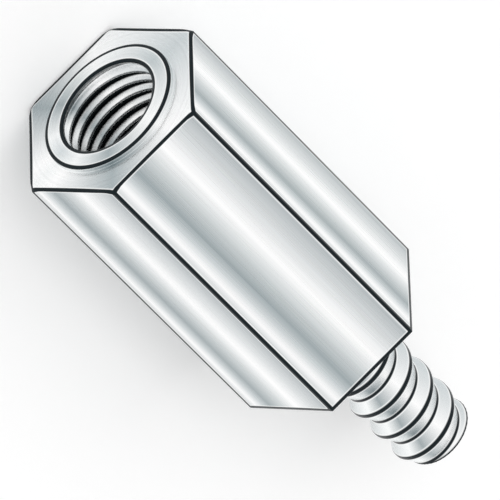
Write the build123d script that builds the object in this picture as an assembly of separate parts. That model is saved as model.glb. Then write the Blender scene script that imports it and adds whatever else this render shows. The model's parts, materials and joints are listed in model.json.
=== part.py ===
from build123d import *
import os
from math import ceil, radians, tan

# A male-female hex standoff: one piece of hexagonal bar, turned down to a threaded stud at
# one end, and drilled and tapped from the other.
# The origin is the centre of the shoulder that the stud rises from. +X runs along the axis
# towards the tip of the stud, and the piece lies on one flat of the hexagon, with +Z up.

# Sizes in millimetres and degrees
across_flats = 6.35
body_length = 12.7

# The corners of the tapped end are turned off outside this circle of the end face
corner_circle = 7.0
corner_angle = 30

# A round washer face stands a little proud of the hexagon at the tapped end
washer_face_diameter = 4.87
washer_face_height = 0.2

# The hole is drilled to the diameter over the crests of its fine inner thread, and its depth
# is from the washer face
hole_diameter = 3.47
hole_depth = 9.4
drill_point_angle = 118

stud_length = 6.35
crest_diameter = 2.8
root_diameter = 2.3
tip_diameter = 2.24
tip_chamfer_length = 0.2
plain_length = 1.2

# The stud's thread leans: the flank that faces the tip takes the larger share of the pitch
thread_pitch = 1.25
crest_flat = 0.12
root_flat = 0.16
tip_side_share = 0.57
side_crest_place = 2.57

# How far a shape that is cut or joined reaches past the surface that it meets
overrun = 0.5


def turned(profile):
    """A closed outline of (place along the axis, radius) points, turned about the axis."""
    outline = make_face(Polyline(*[(x, 0, r) for x, r in profile], close=True))
    return revolve(outline, Axis.X)


def bar():
    """The hexagonal bar, with its six corners turned off at the tapped end."""
    section = Plane.YZ * RegularPolygon(across_flats / 2, 6, major_radius=False)
    blank = extrude(section, -body_length)
    start = corner_circle / 2
    reach = across_flats
    envelope = turned([
        (overrun, 0),
        (overrun, reach),
        (-body_length + (reach - start) * tan(radians(corner_angle)), reach),
        (-body_length, start),
        (-body_length, 0),
    ])
    return blank & envelope


def washer_face():
    """The round pad that the tapped end is bolted down on."""
    pad = washer_face_diameter / 2
    top = -body_length - washer_face_height
    return turned([(top, 0), (top, pad), (-body_length + overrun, pad), (-body_length + overrun, 0)])


def tapped_hole():
    """The space inside the drilled hole, down to the cone that the drill leaves."""
    hole = hole_diameter / 2
    mouth = -body_length - washer_face_height
    bottom = mouth + hole_depth
    point = hole / tan(radians(drill_point_angle / 2))
    return turned([
        (mouth - overrun, 0),
        (mouth - overrun, hole),
        (bottom, hole),
        (bottom + point, 0),
    ])


def thread_ridge():
    """The right-hand thread's one ridge, from inside the plain length to past the tip.

    Each wall of the ridge is ruled between two helices. Its foot is sunk a little under the
    root, and its flanks keep their slope down to there, so neighbouring turns stay apart.
    The ridge is placed so that a crest passes the stud's +Y side at side_crest_place.
    """
    crest = crest_diameter / 2
    root = root_diameter / 2
    depth = crest - root
    flanks = thread_pitch - crest_flat - root_flat
    tip_side = flanks * tip_side_share
    body_side = flanks - tip_side
    sunk = root_flat / 8
    foot = root - sunk
    inside = root - depth / 2
    body_foot = -body_side * (1 + sunk / depth) - crest_flat / 2
    tip_foot = tip_side * (1 + sunk / depth) + crest_flat / 2
    section = [
        (body_foot, inside),
        (body_foot, foot),
        (-crest_flat / 2, crest),
        (crest_flat / 2, crest),
        (tip_foot, foot),
        (tip_foot, inside),
    ]
    hidden_turns = ceil((side_crest_place + tip_foot - plain_length) / thread_pitch)
    start = side_crest_place - hidden_turns * thread_pitch
    height = stud_length + thread_pitch - start
    rails = [
        Edge.make_helix(thread_pitch, height, r, center=(0, 0, start + x))
        for x, r in section
    ]
    walls = [
        Face.make_surface_from_curves(a, b)
        for a, b in zip(rails, rails[1:] + rails[:1])
    ]
    first_cap = make_face(
        Polyline(*[(r, 0, start + x) for x, r in section], close=True)
    ).face()
    last_cap = Pos(0, 0, height) * Rot(0, 0, 360 * height / thread_pitch) * first_cap
    return Plane.YZ * Solid(Shell(walls + [first_cap, last_cap]))


def stud():
    """The stud: a plain length at the shoulder, then the thread, up to the chamfered tip."""
    crest = crest_diameter / 2
    root = root_diameter / 2
    tip = tip_diameter / 2
    core = turned([
        (-overrun, 0),
        (-overrun, crest),
        (plain_length, crest),
        (plain_length + crest - root, root),
        (stud_length + overrun, root),
        (stud_length + overrun, 0),
    ])
    reach = crest + overrun
    cone_length = tip_chamfer_length * (reach - tip) / (crest - tip)
    envelope = turned([
        (-overrun, 0),
        (-overrun, reach),
        (stud_length - cone_length, reach),
        (stud_length, tip),
        (stud_length, 0),
    ])
    return (core + thread_ridge()) & envelope


standoff = bar() + washer_face() + stud() - tapped_hole()

os.makedirs("parts", exist_ok=True)
export_step(standoff, "parts/standoff.step")
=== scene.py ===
import json
from math import atan2, cos, hypot, pi, radians, sin, tan

import bmesh
import bpy
from mathutils import Matrix, Vector


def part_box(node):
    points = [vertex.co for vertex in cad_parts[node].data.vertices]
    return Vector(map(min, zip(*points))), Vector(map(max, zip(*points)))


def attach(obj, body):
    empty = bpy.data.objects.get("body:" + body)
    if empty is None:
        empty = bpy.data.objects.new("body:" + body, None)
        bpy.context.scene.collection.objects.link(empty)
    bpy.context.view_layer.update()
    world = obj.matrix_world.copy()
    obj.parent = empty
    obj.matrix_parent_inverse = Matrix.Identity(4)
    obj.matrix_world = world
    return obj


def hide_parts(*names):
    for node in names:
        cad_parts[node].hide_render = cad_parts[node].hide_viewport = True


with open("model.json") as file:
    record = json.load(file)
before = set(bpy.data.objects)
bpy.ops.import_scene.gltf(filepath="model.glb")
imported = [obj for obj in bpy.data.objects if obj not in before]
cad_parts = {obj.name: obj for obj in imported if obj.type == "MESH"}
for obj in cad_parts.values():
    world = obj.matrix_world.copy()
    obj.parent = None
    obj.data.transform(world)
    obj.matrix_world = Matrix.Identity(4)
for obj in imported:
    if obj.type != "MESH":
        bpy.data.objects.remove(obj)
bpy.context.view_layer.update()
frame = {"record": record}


# The hexagonal bar
# A short length of cold-drawn aluminium hexagon, bought to size. The die leaves fine lines
# along its six flats and a small round at each corner. The lathe turns its corners off at the
# tapped end, outside a circle of the end face, and breaks its end edges.
mm = 0.001
low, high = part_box("standoff")
sides = 6
half_side = pi / sides           # the angle from the middle of a flat to its corner
half_flats = high.z
washer_face_height = 0.2 * mm
tapped_end = low.x + washer_face_height
shoulder = 0.0
turned_off_circle = 3.5 * mm     # the corners are turned off outside this radius,
turned_off_slope = tan(radians(30))   # at this slope back from the end face
corner_round = 0.04 * mm
corner_steps = 6
edge_break = 0.035 * mm
edge_middle = edge_break * (1 - cos(radians(45)))  # how far in a broken edge's middle lies
columns = 192                    # points in a row round the axis, the same on every surface

# Each edge is painted with a dark line of painted shade, and a thin painted highlight on each
# side of it. The attribute edge is 1 on the dark line, bright_edge on the bright one and 0 on
# the metal beyond.
face_line = 0.07 * mm            # the dark line's width on the face beside an end edge,
shoulder_line = 0.105 * mm       # on the flats at the shoulder,
corner_line = 0.06 * mm          # and on the flats beside a corner
line_fade = 0.03 * mm            # from the dark line to the middle of the bright one
bright_rim = 0.05 * mm           # and from there to the plain metal
bright_edge = 0.45
dark_edge = 0.85                 # the line is at its darkest from this edge value up
rim_strength = 0.9
bright_at = edge_break + line_fade
plain_at = bright_at + bright_rim
# the colours of the painted highlight and of the painted dark lines
PAINTED_HIGHLIGHT = "FBFCFC"
PAINTED_LINE_DARK = "20272A"

# Painted sheen: the light that a drawn flat would throw back, painted into its colour from its
# first edge to its last
FLAT_SHEEN = [
    (0.0, "B4BBBD"), (0.10, "FEFEFE"), (0.19, "CDD3D5"), (0.28, "9FA9AC"), (0.44, "D0D5D6"),
    (0.60, "FFFFFF"), (0.76, "DEE1E2"), (1.0, "ACB3B6"),
]
die_line_width = 0.07 * mm       # drawn a few times as coarse as they are, so that they show
die_line_length = 9 * mm
drawn_roughness = (0.22, 0.36)   # where the noise of the lines is low, and where it is high
noise_low, noise_high = 0.3, 0.7   # most of a noise texture's values lie between these
streak_dark, streak_light = 0.95, 1.03
mark_strength = 0.3
mark_depth = 0.004 * mm          # about as deep as the marks that a die or a lathe leaves
first_colour, second_colour, mixed_colour = 6, 7, 2   # a Mix node's sockets for colours


def node(tree, kind, inputs=None, stops=(), **settings):
    """Adds a node, sets its properties and its ramp's stops, and sets or links its inputs."""
    made = tree.nodes.new(kind)
    for name, value in settings.items():
        setattr(made, name, value)
    for i, (place, colour) in enumerate(stops):
        elements = made.color_ramp.elements
        stop = elements[i] if i < 2 else elements.new(place)   # a new ramp has two stops
        stop.position = place
        stop.color = linear(colour)
    for key, value in (inputs or {}).items():
        if isinstance(value, bpy.types.NodeSocket):
            tree.links.new(value, made.inputs[key])
        else:
            made.inputs[key].default_value = value
    return made


def linear(hex_colour):
    """An sRGB hex colour as the linear RGBA that shaders take."""
    parts = [int(hex_colour[i:i + 2], 16) / 255 for i in (0, 2, 4)]
    return [c / 12.92 if c <= 0.04045 else ((c + 0.055) / 1.055) ** 2.4 for c in parts] + [1.0]


def bare_material(name):
    """A material with no nodes in it yet, and its node tree."""
    material = bpy.data.materials.new(name)
    material.use_nodes = True
    material.node_tree.nodes.clear()
    return material, material.node_tree


def edged(tree, colour, dark):
    """The colour, with the painted dark lines and painted highlights that the attribute edge
    draws on it.
    """
    edge = node(tree, "ShaderNodeAttribute", attribute_name="edge").outputs["Fac"]
    brightness = node(tree, "ShaderNodeMapRange", {
        "Value": edge, "From Max": bright_edge, "To Max": rim_strength})
    darkness = node(tree, "ShaderNodeMapRange", {
        "Value": edge, "From Min": bright_edge, "From Max": dark_edge})
    rimmed = node(tree, "ShaderNodeMix", {
        0: brightness.outputs["Result"], first_colour: colour,
        second_colour: linear(PAINTED_HIGHLIGHT)}, data_type="RGBA")
    lined = node(tree, "ShaderNodeMix", {
        0: darkness.outputs["Result"], first_colour: rimmed.outputs[mixed_colour],
        second_colour: linear(dark)}, data_type="RGBA")
    return lined.outputs[mixed_colour]


def marked_metal(tree, sheen, marks, roughness):
    """Bright metal in the colour of its painted sheen, with painted edge lines, streaked and
    scratched by a noise of tool marks.

    roughness is a pair: where the noise is low, and where it is high.
    """
    streak = node(tree, "ShaderNodeMapRange", {
        "Value": marks, "From Min": noise_low, "From Max": noise_high,
        "To Min": streak_dark, "To Max": streak_light})
    streaked = node(tree, "ShaderNodeMix", {
        0: 1.0, first_colour: sheen, second_colour: streak.outputs["Result"],
    }, data_type="RGBA", blend_type="MULTIPLY", clamp_result=True)
    gloss = node(tree, "ShaderNodeMapRange", {
        "Value": marks, "From Min": noise_low, "From Max": noise_high,
        "To Min": roughness[0], "To Max": roughness[1]})
    scratches = node(tree, "ShaderNodeBump", {
        "Height": marks, "Strength": mark_strength, "Distance": mark_depth})
    surface = node(tree, "ShaderNodeBsdfPrincipled", {
        "Base Color": edged(tree, streaked.outputs[mixed_colour], PAINTED_LINE_DARK), "Metallic": 1.0,
        "Roughness": gloss.outputs["Result"], "Normal": scratches.outputs["Normal"]})
    node(tree, "ShaderNodeOutputMaterial", {"Surface": surface.outputs["BSDF"]})


def drawn_aluminium():
    """Cold-drawn aluminium: a silky metal with fine lines along it and soft bands of painted
    sheen.
    """
    material, tree = bare_material("drawn_aluminium")
    place = node(tree, "ShaderNodeTexCoord").outputs["Object"]
    along = node(tree, "ShaderNodeMapping", {
        "Vector": place,
        "Scale": (1 / die_line_length, 1 / die_line_width, 1 / die_line_width),
    }).outputs["Vector"]
    lines = node(tree, "ShaderNodeTexNoise", {
        "Vector": along, "Scale": 1.0, "Detail": 3.0, "Roughness": 0.6}).outputs["Fac"]
    across = node(tree, "ShaderNodeAttribute", attribute_name="across").outputs["Fac"]
    sheen = node(tree, "ShaderNodeValToRGB", {"Fac": across}, stops=FLAT_SHEEN)
    marked_metal(tree, sheen.outputs["Color"], lines, drawn_roughness)
    return material


def bar_outline():
    """The hexagon, corners rounded, as (angle, radius, place across its flat, edge) points.

    The place across a flat runs from 0 to 1 against the angle.
    """
    half_flat = half_flats * tan(half_side)
    straight = half_flat - corner_round * tan(half_side)
    centre = (half_flats - corner_round) / cos(half_side)
    dark = straight - corner_line
    bright = dark - line_fade
    inner = bright - bright_rim
    lines = [(straight, 1.0), (dark, 1.0), (bright, bright_edge)]
    inner_steps = columns // sides - corner_steps - 2 * len(lines)
    across_flat = [(-y, edge) for y, edge in lines]
    across_flat += [(inner * (2 * i / inner_steps - 1), 0.0) for i in range(inner_steps + 1)]
    across_flat += lines[::-1]
    outline = []
    for side in range(sides):
        middle = (2 * side + 1) * half_side
        corner = middle + half_side
        for y, edge in across_flat:
            place = 0.5 - y / (2 * half_flat)
            outline.append((middle + atan2(y, half_flats), hypot(y, half_flats), place, edge))
        for i in range(1, corner_steps):
            lean = (2 * i / corner_steps - 1) * half_side
            out = centre + corner_round * cos(lean)
            y = corner_round * sin(lean)
            outline.append((corner + atan2(y, out), hypot(y, out), float(lean > 0), 1.0))
    return outline


def each_column(value):
    """A list with one value a column: the one given, or a number repeated."""
    return value if isinstance(value, list) else [value] * columns


def row(x, radius, turns=None):
    """A row of points round the axis. x and radius are each one number or a list."""
    turns = turns or [2 * pi * i / columns for i in range(columns)]
    return [(along, out * cos(turn), out * sin(turn))
            for along, out, turn in zip(each_column(x), each_column(radius), turns)]


def skin(name, rows, material, apex=None):
    """A surface of quads between rows of points, closed at an apex if one is given.

    Each row comes with its edge value, which is one number or a list.
    """
    points = [point for points, _ in rows for point in points]
    edges = [value for _, edge in rows for value in each_column(edge)]
    faces = [(first + i, first + (i + 1) % columns,
              first + columns + (i + 1) % columns, first + columns + i)
             for first in range(0, len(points) - columns, columns) for i in range(columns)]
    if apex:
        last = len(points) - columns
        points.append(apex)
        edges.append(0.0)
        faces += [(last + i, last + (i + 1) % columns, len(points) - 1) for i in range(columns)]
    mesh = bpy.data.meshes.new(name)
    mesh.from_pydata(points, [], faces)
    mesh.materials.append(material)
    mesh.shade_smooth()
    mesh.attributes.new("edge", "FLOAT", "POINT").data.foreach_set("value", edges)
    surface = bpy.data.objects.new(name, mesh)
    bpy.context.scene.collection.objects.link(surface)
    return surface


bar_angles, bar_radii, bar_places, corner_edges = [list(part) for part in zip(*bar_outline())]
face_reach = [r - edge_break for r in bar_radii]


def bar_row(x, inset):
    """A row of the bar's outline, drawn in by inset. x is one number or a list."""
    return row(x, [r - inset for r in bar_radii], bar_angles)


def turned_off_x(radius):
    """The end face's place at a radius, which falls back where the corners are turned off."""
    return tapped_end + max(0.0, radius - turned_off_circle) * turned_off_slope


def at_least(value):
    """The edge values of a row of the bar's outline, none of them lower than the value."""
    return [max(value, edge) for edge in corner_edges]


turned_edge = [turned_off_x(r) for r in bar_radii]
line_start = shoulder - edge_break - shoulder_line
# The flats' rows carry the painted dark lines and painted highlights along the corners and both
# end edges.
flats = skin("flats", [
    (bar_row([turned_off_x(r) for r in face_reach], edge_break), 1.0),
    (bar_row([x + edge_middle for x in turned_edge], edge_middle), 1.0),
    (bar_row([x + edge_break for x in turned_edge], 0.0), 1.0),
    (bar_row([x + bright_at for x in turned_edge], 0.0), at_least(bright_edge)),
    (bar_row([x + plain_at for x in turned_edge], 0.0), corner_edges),
    (bar_row(line_start - line_fade - bright_rim, 0.0), corner_edges),
    (bar_row(line_start - line_fade, 0.0), at_least(bright_edge)),
    (bar_row(line_start, 0.0), 1.0),
    (bar_row(shoulder - edge_break, 0.0), 1.0),
    (bar_row(shoulder - edge_middle, edge_middle), 1.0),
    (bar_row(shoulder, edge_break), 1.0),
], drawn_aluminium())
flat_places = bar_places * (len(flats.data.vertices) // columns)
flats.data.attributes.new("across", "FLOAT", "POINT").data.foreach_set("value", flat_places)


# The tapped end
# The bar is faced off square, but for a low round washer face left standing round the hole.
# The lathe tool leaves fine rings, and the fan of bright and dull rays that they throw back is
# painted into the colour as painted sheen.
mounts = {mount["name"]: mount for mount in frame["record"]["mounts"]}
hole = mounts["tapped_hole"]
hole_radius = hole["dims"]["r_mm"] * mm
mouth = hole["pos_m"][0]
tap_start = mouth + plain_at
washer_face_radius = 2.435 * mm
foot = 0.015 * mm                # the fillet at the washer face's foot
fillet_middle = 0.3              # the middle of a fillet, as a share of its size
tool_mark = 0.09 * mm            # drawn about twice as coarse as the tool's feed, to show
faced_roughness = (0.20, 0.30)

# Painted sheen: the light that the faced end and its washer face would throw back, painted into
# their colour as fans from +Y through +Z
FACE_SHEEN = [
    (0.0, "CAD1D3"), (0.20, "FEFEFE"), (0.333, "A9B3B6"), (0.467, "FFFFFF"), (0.50, "F6F8F8"),
    (0.533, "FFFFFF"), (0.667, "A9B3B6"), (0.80, "FEFEFE"), (1.0, "CAD1D3"),
]
WASHER_FACE_SHEEN = [
    (0.0, "C2CACC"), (0.20, "FBFCFC"), (0.333, "A6B0B3"), (0.433, "F7F9F9"), (0.50, "D7DDDF"),
    (0.567, "F7F9F9"), (0.667, "A6B0B3"), (0.80, "FCFDFD"), (1.0, "C2CACC"),
]


def round_the_axis(tree):
    """A point's place, its Y and its Z, and its distance from the axis, as sockets."""
    place = node(tree, "ShaderNodeTexCoord").outputs["Object"]
    parts = node(tree, "ShaderNodeSeparateXYZ", {"Vector": place}).outputs
    off_axis = node(tree, "ShaderNodeCombineXYZ", {"Y": parts["Y"], "Z": parts["Z"]})
    radius = node(tree, "ShaderNodeVectorMath", {0: off_axis.outputs[0]}, operation="LENGTH")
    return place, parts["Y"], parts["Z"], radius.outputs["Value"]


def faced_aluminium(name, sheen):
    """Aluminium off the lathe: bright, with concentric tool marks and a painted fan of sheen."""
    material, tree = bare_material(name)
    _, y, z, radius = round_the_axis(tree)
    angle = node(tree, "ShaderNodeMath", {0: z, 1: y}, operation="ARCTAN2")
    share = node(tree, "ShaderNodeMath", {0: angle.outputs[0], 1: 2 * pi}, operation="DIVIDE")
    fan = node(tree, "ShaderNodeMath", {0: share.outputs[0], 1: 1.0, 2: 0.0}, operation="WRAP")
    rays = node(tree, "ShaderNodeValToRGB", {"Fac": fan.outputs[0]}, stops=sheen)
    ring = node(tree, "ShaderNodeMath", {0: radius, 1: 1 / tool_mark}, operation="MULTIPLY")
    marks = node(tree, "ShaderNodeTexNoise", {
        "W": ring.outputs[0], "Scale": 1.0, "Detail": 2.0}, noise_dimensions="1D")
    marked_metal(tree, rays.outputs["Color"], marks.outputs["Fac"], faced_roughness)
    return material


def face_edge(x, radius, inwards, turns=None):
    """The rows of a faced end beside its edge: a painted dark line of shade, then a thin painted
    highlight.

    The radius is one number or a list. The rows run towards the axis, or away from it with
    inwards -1.
    """
    widths = [(0.0, 1.0), (face_line, 1.0), (face_line + line_fade, bright_edge),
              (face_line + line_fade + bright_rim, 0.0)]
    return [(row(x, [r - inwards * width for r in each_column(radius)], turns), edge)
            for width, edge in widths]


faced_metal = faced_aluminium("faced_aluminium", FACE_SHEEN)
# The end face's outer edge carries a painted dark line and a painted highlight.
end_face = skin("end_face", [
    ([(turned_off_x(hypot(y, z)), y, z) for _, y, z in points], edge)
    for points, edge in face_edge(tapped_end, face_reach, 1, bar_angles)
] + [
    (row(tapped_end, washer_face_radius + foot + bright_rim), 0.0),
    (row(tapped_end, washer_face_radius + foot), 0.0),
], faced_metal)
# The washer face's outer edge and the hole's mouth carry painted dark lines of shade, with
# painted highlights beside them.
washer_face = skin("washer_face", [
    (row(tapped_end, washer_face_radius + foot), 0.0),
    (row(tapped_end - fillet_middle * foot, washer_face_radius + fillet_middle * foot), 0.0),
    (row(tapped_end - foot, washer_face_radius), 0.0),
    (row(mouth + plain_at, washer_face_radius), 0.0),
    (row(mouth + bright_at, washer_face_radius), bright_edge),
    (row(mouth + edge_break, washer_face_radius), 1.0),
    (row(mouth + edge_middle, washer_face_radius - edge_middle), 1.0),
] + face_edge(mouth, washer_face_radius - edge_break, 1)
  + face_edge(mouth, hole_radius + edge_break, -1)[::-1] + [
    (row(mouth + edge_break, hole_radius), 1.0),
    (row(mouth + bright_at, hole_radius), bright_edge),
    (row(tap_start, hole_radius), 0.0),
], faced_aluminium("washer_faced_aluminium", WASHER_FACE_SHEEN))


# The tapped hole
# The hole is drilled first, to the diameter over the crests of its thread, and a tap then cuts
# a fine right-hand thread in its wall. The tap stops short of the drill's cone.
hole_floor = mouth + hole["dims"]["length_mm"] * mm
drill_angle = radians(118)
drill_point = hole_floor + hole_radius / tan(drill_angle / 2)
apex_ring = 0.1                  # the last row before an apex, as a share of the radius
tap_pitch = 0.5 * mm
tap_end = mouth + 8.0 * mm
tap_crest_place = mouth + 0.14 * mm
tap_root_radius = 2.0 * mm
tap_crest_flat = 0.07 * mm
tap_root_flat = 0.06 * mm
tap_rows = 14                    # rows of its mesh in a pitch
# the share of the flank that the roots' painted shade takes
tap_root_line = 0.55
tap_root_lead = 0.33 * mm        # the first turn is open to the light, so its root is left without painted shade
tap_inner_shade = 3.0            # the flank that faces down the hole gets painted shade sooner
tap_cone_line = 0.05 * mm
thread_line_fade = 0.2
cone_line_peak = 1.2             # over 1, so that the line is solid along its middle
thread_weld = 0.0001 * mm
chatter_size = 0.12 * mm         # about as far apart as the marks that a die leaves
cut_roughness = (0.24, 0.30)
# the painted shade in the roots of the tapped thread
TAP_ROOT_SHADE = "14181A"

# Painted sheen: the light that a thread would throw back, painted into its colour from its -Y
# side to its +Y side
THREAD_SHEEN = [
    (0.0, "E4E8E9"), (0.12, "F8FAFA"), (0.28, "A3ACAF"), (0.60, "FEFEFE"), (1.0, "CDD3D5"),
]


def cut_aluminium(name, painted_line_colour):
    """Aluminium cut by a tap or a die: flanks in painted sheen, a little dulled by chatter, with
    painted dark lines and painted shade in the roots.
    """
    material, tree = bare_material(name)
    place, y, _, radius = round_the_axis(tree)
    side = node(tree, "ShaderNodeMath", {0: y, 1: radius}, operation="DIVIDE")
    across = node(tree, "ShaderNodeMapRange", {
        "Value": side.outputs[0], "From Min": -1.0, "From Max": 1.0})
    sheen = node(tree, "ShaderNodeValToRGB", {
        "Fac": across.outputs["Result"]}, stops=THREAD_SHEEN)
    chatter = node(tree, "ShaderNodeTexNoise", {
        "Vector": place, "Scale": 1 / chatter_size, "Detail": 2.0})
    gloss = node(tree, "ShaderNodeMapRange", {
        "Value": chatter.outputs["Fac"], "From Min": noise_low, "From Max": noise_high,
        "To Min": cut_roughness[0], "To Max": cut_roughness[1]})
    surface = node(tree, "ShaderNodeBsdfPrincipled", {
        "Base Color": edged(tree, sheen.outputs["Color"], painted_line_colour), "Metallic": 1.0,
        "Roughness": gloss.outputs["Result"]})
    node(tree, "ShaderNodeOutputMaterial", {"Surface": surface.outputs["BSDF"]})
    return material


def thread_tree():
    """The nodes that cut a right-hand thread in a round surface, from one circle to another.

    A grid is wound round the axis, so that each of its rows is one line along the helix. The
    thread deepens from its crest circle at the start. A cone cuts it off at the end.
    """
    tree = bpy.data.node_groups.new("cut_thread", "GeometryNodeTree")
    sizes = [
        "Start", "End", "Pitch", "Crest Radius", "Root Radius", "Crest Flat", "Root Flat",
        "Start Side Share",     # of the two flanks' length, how much faces the start
        "Crest Place",          # where a crest passes the +Y side
        "End Drop",             # how far below the crest the cone lies at the end
        "End Slope",            # how fast the cone rises from there
        "Crest Line",           # the share of the flank that the crest's painted dark line takes
        "Root Line",            # the share that the root's painted shade takes
        "Root Lead",            # how far from the start the root's painted shade begins
        "End Side Shade",       # how much sooner the flank that faces the end falls into painted shade
        "Cone Line",            # the width of the painted dark line along the cone's edges
        "Line Fade",            # the share of the flank over which the painted dark lines fade out
    ]
    for name in sizes:
        tree.interface.new_socket(name, in_out="INPUT", socket_type="NodeSocketFloat")
    for name in ["Columns", "Rows A Pitch"]:
        tree.interface.new_socket(name, in_out="INPUT", socket_type="NodeSocketInt")
    tree.interface.new_socket("Material", in_out="INPUT", socket_type="NodeSocketMaterial")
    tree.interface.new_socket("Geometry", in_out="OUTPUT", socket_type="NodeSocketGeometry")
    given = node(tree, "NodeGroupInput").outputs
    spot = node(tree, "ShaderNodeSeparateXYZ", {
        "Vector": node(tree, "GeometryNodeInputPosition").outputs[0]}).outputs

    # Each step works out the value that it names first, from earlier values and numbers
    steps = [
        # the grid's rows, with a pitch to spare for the winding
        ("length", "SUBTRACT", "End", "Start"),
        ("turns", "DIVIDE", "length", "Pitch"),
        ("rows", "MULTIPLY_ADD", "turns", "Rows A Pitch", "Rows A Pitch"),
        ("rows", "CEIL", "rows"),
        ("reach", "DIVIDE", "rows", "Rows A Pitch"),
        ("reach", "MULTIPLY", "reach", "Pitch"),
        ("points along", "ADD", "rows", 1.0),
        ("points round", "ADD", "Columns", 1.0),
        # where a point of the grid, which runs from -0.5 to 0.5, lies once it is wound
        ("turn", "ADD", "grid y", 0.5),
        ("along", "ADD", "grid x", 0.5),
        ("first line", "SUBTRACT", "Start", "Pitch"),
        ("line", "MULTIPLY_ADD", "along", "reach", "first line"),
        ("x", "MULTIPLY_ADD", "turn", "Pitch", "line"),
        ("x", "MAXIMUM", "x", "Start"),
        ("x", "MINIMUM", "x", "End"),
        # points near the circle where the cone leaves the crest are drawn on to it
        ("half row", "DIVIDE", "Pitch", "Rows A Pitch"),
        ("half row", "MULTIPLY", "half row", 0.5),
        ("cone start", "DIVIDE", "End Drop", "End Slope"),
        ("cone start", "SUBTRACT", "End", "cone start"),
        ("off circle", "SUBTRACT", "x", "cone start"),
        ("near", "ABSOLUTE", "off circle"),
        ("near", "LESS_THAN", "near", "half row"),
        ("off circle", "MULTIPLY", "off circle", "near"),
        ("x", "SUBTRACT", "x", "off circle"),
        # how far down the flank between crest and root it lies, from 0 to 1
        ("half crest", "MULTIPLY", "Crest Flat", 0.5),
        ("flanks", "SUBTRACT", "Pitch", "Crest Flat"),
        ("flanks", "SUBTRACT", "flanks", "Root Flat"),
        ("start flank", "MULTIPLY", "flanks", "Start Side Share"),
        ("end flank", "SUBTRACT", "flanks", "start flank"),
        ("phase", "MULTIPLY", "turn", "Pitch"),
        ("phase", "SUBTRACT", "x", "phase"),
        ("phase", "SUBTRACT", "phase", "Crest Place"),
        ("phase", "WRAP", "phase", "Pitch", 0.0),
        ("falling", "SUBTRACT", "phase", "half crest"),
        ("falling", "DIVIDE", "falling", "end flank"),
        ("rising", "SUBTRACT", "Pitch", "half crest"),
        ("rising", "SUBTRACT", "rising", "phase"),
        ("rising", "DIVIDE", "rising", "start flank"),
        ("share", "MINIMUM", "falling", "rising"),
        ("share", "MINIMUM", "share", 1.0),
        ("share", "MAXIMUM", "share", 0.0),
        # how deep it is cut, with the thread's start and the cone at its end
        ("height", "SUBTRACT", "Root Radius", "Crest Radius"),
        ("depth", "ABSOLUTE", "height"),
        ("cut", "MULTIPLY", "share", "depth"),
        ("from start", "SUBTRACT", "x", "Start"),
        ("cut", "MINIMUM", "cut", "from start"),
        ("from end", "SUBTRACT", "End", "x"),
        ("room", "ADD", "from end", "End Drop"),
        ("cut", "MINIMUM", "cut", "room"),
        ("rise", "MULTIPLY", "from end", "End Slope"),
        ("cone", "SUBTRACT", "End Drop", "rise"),
        ("off cone", "SUBTRACT", "cut", "cone"),
        ("off cone", "ABSOLUTE", "off cone"),
        ("cut", "MAXIMUM", "cut", "cone"),
        # its place
        ("inwards", "SIGN", "height"),
        ("radius", "MULTIPLY_ADD", "cut", "inwards", "Crest Radius"),
        ("angle", "MULTIPLY", "turn", 2 * pi),
        ("y", "COSINE", "angle"),
        ("y", "MULTIPLY", "y", "radius"),
        ("z", "SINE", "angle"),
        ("z", "MULTIPLY", "z", "radius"),
        # the painted dark lines: painted shade along the root and along the cone's two edges, and
        # a painted dark reflection along the crest
        ("groove", "DIVIDE", "cut", "depth"),
        ("crest line", "SUBTRACT", "Crest Line", "groove"),
        ("root line", "MULTIPLY", "falling", "End Side Shade"),
        ("root line", "MINIMUM", "root line", "rising"),
        ("root line", "ADD", "root line", "Root Line"),
        ("root line", "SUBTRACT", "root line", 1.0),
        ("lead", "DIVIDE", "from start", "Root Lead"),
        ("lead", "SUBTRACT", "lead", 1.0),
        ("root line", "MINIMUM", "root line", "lead"),
        ("edge", "MAXIMUM", "crest line", "root line"),
        ("edge", "DIVIDE", "edge", "Line Fade"),
        ("cone line", "MINIMUM", "off cone", "rise"),
        ("cone line", "DIVIDE", "cone line", "Cone Line"),
        ("cone line", "MULTIPLY_ADD", "cone line", -cone_line_peak, cone_line_peak),
        ("edge", "MAXIMUM", "edge", "cone line"),
        ("edge", "MINIMUM", "edge", 1.0),
        ("edge", "MAXIMUM", "edge", 0.0),
    ]
    values = {"grid x": spot["X"], "grid y": spot["Y"]}
    values.update({name: given[name] for name in given.keys() if name})
    for name, operation, *terms in steps:
        worked = node(tree, "ShaderNodeMath", {
            i: values.get(term, term) for i, term in enumerate(terms)}, operation=operation)
        values[name] = worked.outputs[0]

    grid = node(tree, "GeometryNodeMeshGrid", {
        "Size X": 1.0, "Size Y": 1.0,
        "Vertices X": values["points along"], "Vertices Y": values["points round"]})
    wound = node(tree, "ShaderNodeCombineXYZ", {
        "X": values["x"], "Y": values["y"], "Z": values["z"]})
    marked = node(tree, "GeometryNodeStoreNamedAttribute", {
        "Geometry": grid.outputs["Mesh"], "Name": "edge", "Value": values["edge"],
    }, data_type="FLOAT", domain="POINT")
    placed = node(tree, "GeometryNodeSetPosition", {
        "Geometry": marked.outputs[0], "Position": wound.outputs[0]})
    closed = node(tree, "GeometryNodeMergeByDistance", {
        "Geometry": placed.outputs[0], "Distance": thread_weld})
    smooth = node(tree, "GeometryNodeSetShadeSmooth", {"Geometry": closed.outputs[0]})
    real = node(tree, "GeometryNodeRealizeInstances", {"Geometry": smooth.outputs[0]})
    painted = node(tree, "GeometryNodeSetMaterial", {
        "Geometry": real.outputs[0], "Material": given["Material"]})
    node(tree, "NodeGroupOutput", {"Geometry": painted.outputs[0]})
    return tree


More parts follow.
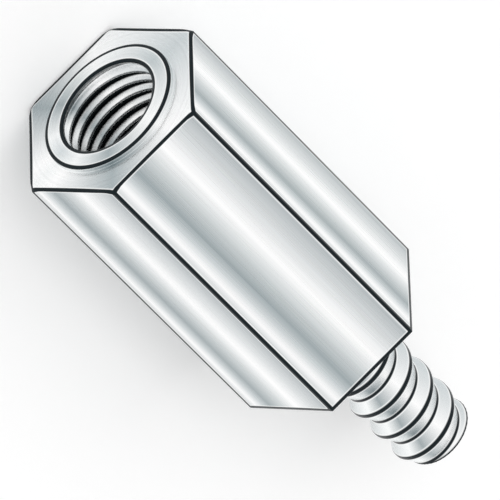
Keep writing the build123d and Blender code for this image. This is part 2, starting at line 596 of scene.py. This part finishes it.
def threaded(name, tree, **sizes):
    """A thread from the tree, as a plain mesh. sizes gives every input by its name."""
    maker = bpy.data.objects.new(name, bpy.data.meshes.new(name))
    bpy.context.scene.collection.objects.link(maker)
    cutter = maker.modifiers.new("cut_thread", "NODES")
    cutter.node_group = tree
    for socket in tree.interface.items_tree:
        if socket.in_out == "INPUT":
            cutter[socket.identifier] = sizes[socket.name.lower().replace(" ", "_")]
    shape = bpy.data.meshes.new_from_object(
        maker.evaluated_get(bpy.context.evaluated_depsgraph_get()))
    shape.materials.pop(index=0)     # the grid's own empty slot, which no face wears
    maker.modifiers.clear()
    maker.data = shape
    return maker


thread = thread_tree()
inner_thread = threaded(
    "inner_thread", thread, start=tap_start, end=tap_end, pitch=tap_pitch,
    crest_radius=hole_radius, root_radius=tap_root_radius,
    crest_flat=tap_crest_flat, root_flat=tap_root_flat, start_side_share=0.5,
    crest_place=tap_crest_place, end_drop=0.0, end_slope=1.0,
    crest_line=0.0, root_line=tap_root_line, root_lead=tap_root_lead,
    end_side_shade=tap_inner_shade, cone_line=tap_cone_line, line_fade=thread_line_fade,
    columns=columns, rows_a_pitch=tap_rows, material=cut_aluminium("tapped_aluminium", TAP_ROOT_SHADE))
hole_bottom = skin("hole_bottom", [
    (row(tap_end, hole_radius), 0.0),
    (row(hole_floor, hole_radius), 0.0),
    (row(drill_point - apex_ring * (drill_point - hole_floor), apex_ring * hole_radius), 0.0),
], faced_metal, apex=(drill_point, 0, 0))


# The stud
# The other end is turned down to a plain shank, threaded to its tip, and chamfered there. The
# thread leans: its flank towards the tip is the longer one. The shoulder is left square.
stud = mounts["stud"]
crest_radius = stud["dims"]["r_mm"] * mm
plain_length = stud["dims"]["length_mm"] * mm
tip = high.x
root_radius = 1.15 * mm
tip_radius = 1.12 * mm
tip_chamfer = 0.2 * mm
tip_drop = crest_radius - tip_radius
stud_pitch = 1.25 * mm
crest_flat = 0.12 * mm
root_flat = 0.16 * mm
tip_side_share = 0.57
side_crest_place = 2.57 * mm
stud_rows = 56
# the painted dark lines on the stud's thread: a painted dark reflection along the crest, and
# painted shade along the root and the tip's cone
stud_crest_line = 0.2
stud_root_line = 0.11
stud_root_lead = 0.1 * mm
stud_cone_line = 0.22 * mm
neck = 0.04 * mm                 # the fillet where the shank meets the shoulder

# The shoulder face's edge carries a painted dark line and a painted highlight.
shoulder_face = skin("shoulder_face", face_edge(shoulder, face_reach, 1, bar_angles) + [
    (row(shoulder, crest_radius + neck + bright_rim), 0.0),
    (row(shoulder, crest_radius + neck), bright_edge),
], faced_metal)
cut_metal = cut_aluminium("turned_aluminium", PAINTED_LINE_DARK)
# The shank carries painted shade: a dark line round its fillet at the shoulder, and one round the
# circle where the thread starts, with painted highlights beside them.
shank = skin("shank", [
    (row(shoulder, crest_radius + neck), bright_edge),
    (row(shoulder + fillet_middle * neck, crest_radius + fillet_middle * neck), 1.0),
    (row(shoulder + neck, crest_radius), bright_edge),
    (row(shoulder + neck + bright_rim, crest_radius), 0.0),
    (row(plain_length - bright_rim, crest_radius), 0.0),
    (row(plain_length, crest_radius), 1.0),
], cut_metal)
stud_thread = threaded(
    "stud_thread", thread, start=plain_length, end=tip, pitch=stud_pitch,
    crest_radius=crest_radius, root_radius=root_radius,
    crest_flat=crest_flat, root_flat=root_flat, start_side_share=1 - tip_side_share,
    crest_place=side_crest_place, end_drop=tip_drop, end_slope=tip_drop / tip_chamfer,
    crest_line=stud_crest_line, root_line=stud_root_line, root_lead=stud_root_lead,
    end_side_shade=1.0, cone_line=stud_cone_line, line_fade=thread_line_fade,
    columns=columns, rows_a_pitch=stud_rows, material=cut_metal)
tip_face = skin("tip_face", face_edge(tip, tip_radius, 1) + [
    (row(tip, apex_ring * tip_radius), 0.0),
], faced_metal, apex=(tip, 0, 0))


# One piece of metal
# The bar, its ends, the hole and the stud are one piece, so their surfaces are joined edge to
# edge into one closed shell. Its shading follows the broad faces, so that the flats look flat.
weld = 0.0002 * mm
broad_face_weight = 100

surfaces = [flats, end_face, washer_face, inner_thread, hole_bottom,
            shoulder_face, shank, stud_thread, tip_face]
with bpy.context.temp_override(active_object=flats, selected_editable_objects=surfaces):
    bpy.ops.object.join()
shell = bmesh.new()
shell.from_mesh(flats.data)
bmesh.ops.remove_doubles(shell, verts=shell.verts, dist=weld)
bmesh.ops.dissolve_degenerate(shell, edges=shell.edges, dist=weld)
bmesh.ops.recalc_face_normals(shell, faces=shell.faces)
shell.to_mesh(flats.data)
shell.free()
flats.data.shade_smooth()
shading = flats.modifiers.new("broad_faces", "WEIGHTED_NORMAL")
shading.weight = broad_face_weight
standoff = bpy.data.objects.new("standoff_metal", bpy.data.meshes.new_from_object(
    flats.evaluated_get(bpy.context.evaluated_depsgraph_get())))
bpy.context.scene.collection.objects.link(standoff)
bpy.data.objects.remove(flats)
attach(standoff, "root")
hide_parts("standoff")


# The table top
# A plain matt white board that the standoff lies on, much larger than the view. It gives back
# a little more light than falls on it, so that it meets the white of the tent behind it.
table_radius = 400 * mm
table_sides = 96
table_glow = 0.08
TABLE = "FFFFFF"


def looked_at(tree):
    """1 for the rays that look at the room, straight or by way of something shiny or clear."""
    ray = node(tree, "ShaderNodeLightPath").outputs
    looked = node(tree, "ShaderNodeMath", {
        0: ray["Is Camera Ray"], 1: ray["Is Glossy Ray"]}, operation="MAXIMUM")
    return node(tree, "ShaderNodeMath", {
        0: looked.outputs[0], 1: ray["Is Transmission Ray"]}, operation="MAXIMUM").outputs[0]


def matt_board():
    """White matt board: bright white to the eye, under the soft shadow of what lies on it."""
    material, tree = bare_material("matt_board")
    matt = node(tree, "ShaderNodeBsdfDiffuse", {"Color": linear(TABLE)})
    glow = node(tree, "ShaderNodeMath", {0: looked_at(tree), 1: table_glow}, operation="MULTIPLY")
    white = node(tree, "ShaderNodeEmission", {"Strength": glow.outputs[0]})
    surface = node(tree, "ShaderNodeAddShader", {0: matt.outputs[0], 1: white.outputs[0]})
    node(tree, "ShaderNodeOutputMaterial", {"Surface": surface.outputs[0]})
    return material


board = bmesh.new()
bmesh.ops.create_circle(board, cap_ends=True, radius=table_radius, segments=table_sides)
bmesh.ops.translate(board, verts=board.verts, vec=(0, 0, low.z))
floor_mesh = bpy.data.meshes.new("table_top")
board.to_mesh(floor_mesh)
board.free()
floor_mesh.materials.append(matt_board())
floor = bpy.data.objects.new("table_top", floor_mesh)
bpy.context.scene.collection.objects.link(floor)


# The light
# A white studio tent stands all round, and the metal reflects it. One broad soft lamp hangs
# overhead, and it leans a little to throw the faint shadow beside the piece.
tent_light = 0.62
lamp_strength = 1.2
lamp_spread = radians(70)
lamp_lean = (radians(-24), radians(-20), 0)
TENT = "FFFFFF"

world = bpy.data.worlds.new("studio_tent")
world.use_nodes = True
world.node_tree.nodes.clear()
strength = node(world.node_tree, "ShaderNodeMapRange", {
    "Value": looked_at(world.node_tree), "To Min": tent_light})
tent = node(world.node_tree, "ShaderNodeBackground", {
    "Color": linear(TENT), "Strength": strength.outputs["Result"]})
node(world.node_tree, "ShaderNodeOutputWorld", {"Surface": tent.outputs["Background"]})
bpy.context.scene.world = world

lamp = bpy.data.lights.new("soft_lamp", "SUN")
lamp.energy = lamp_strength
lamp.angle = lamp_spread
lamp_object = bpy.data.objects.new("soft_lamp", lamp)
lamp_object.rotation_euler = lamp_lean
lamp_object.visible_glossy = False
bpy.context.scene.collection.objects.link(lamp_object)


# The camera
# It looks down on the piece from the tapped end, rolled so that the axis runs from the upper
# left of the picture to the lower right, through a long lens that keeps the edges parallel.
elevation = radians(52.1)
view_width = 16.33 * mm
lens_length = 1000.0
sensor_width = 36.0
clip_near, clip_far = 0.01, 10.0
along_shift = -3.67 * mm         # from the middle of the shoulder to the middle of the picture
side_shift = -0.026 * mm

to_camera = Vector((-cos(elevation), 0, sin(elevation)))
down_axis = Vector((sin(elevation), 0, cos(elevation)))
across_axis = Vector((0, 1, 0))
target = along_shift * down_axis + side_shift * across_axis
lens = bpy.data.cameras.new("camera")
lens.lens = lens_length
lens.sensor_width = sensor_width
lens.clip_start = clip_near
lens.clip_end = clip_far
camera = bpy.data.objects.new("camera", lens)
right = (down_axis + across_axis).normalized()
up = (across_axis - down_axis).normalized()
facing = Matrix((right, up, to_camera)).transposed().to_4x4()
camera.matrix_world = Matrix.Translation(
    target + to_camera * view_width * lens_length / sensor_width) @ facing
bpy.context.scene.collection.objects.link(camera)
bpy.context.scene.camera = camera
bpy.context.scene.view_settings.view_transform = "Standard"
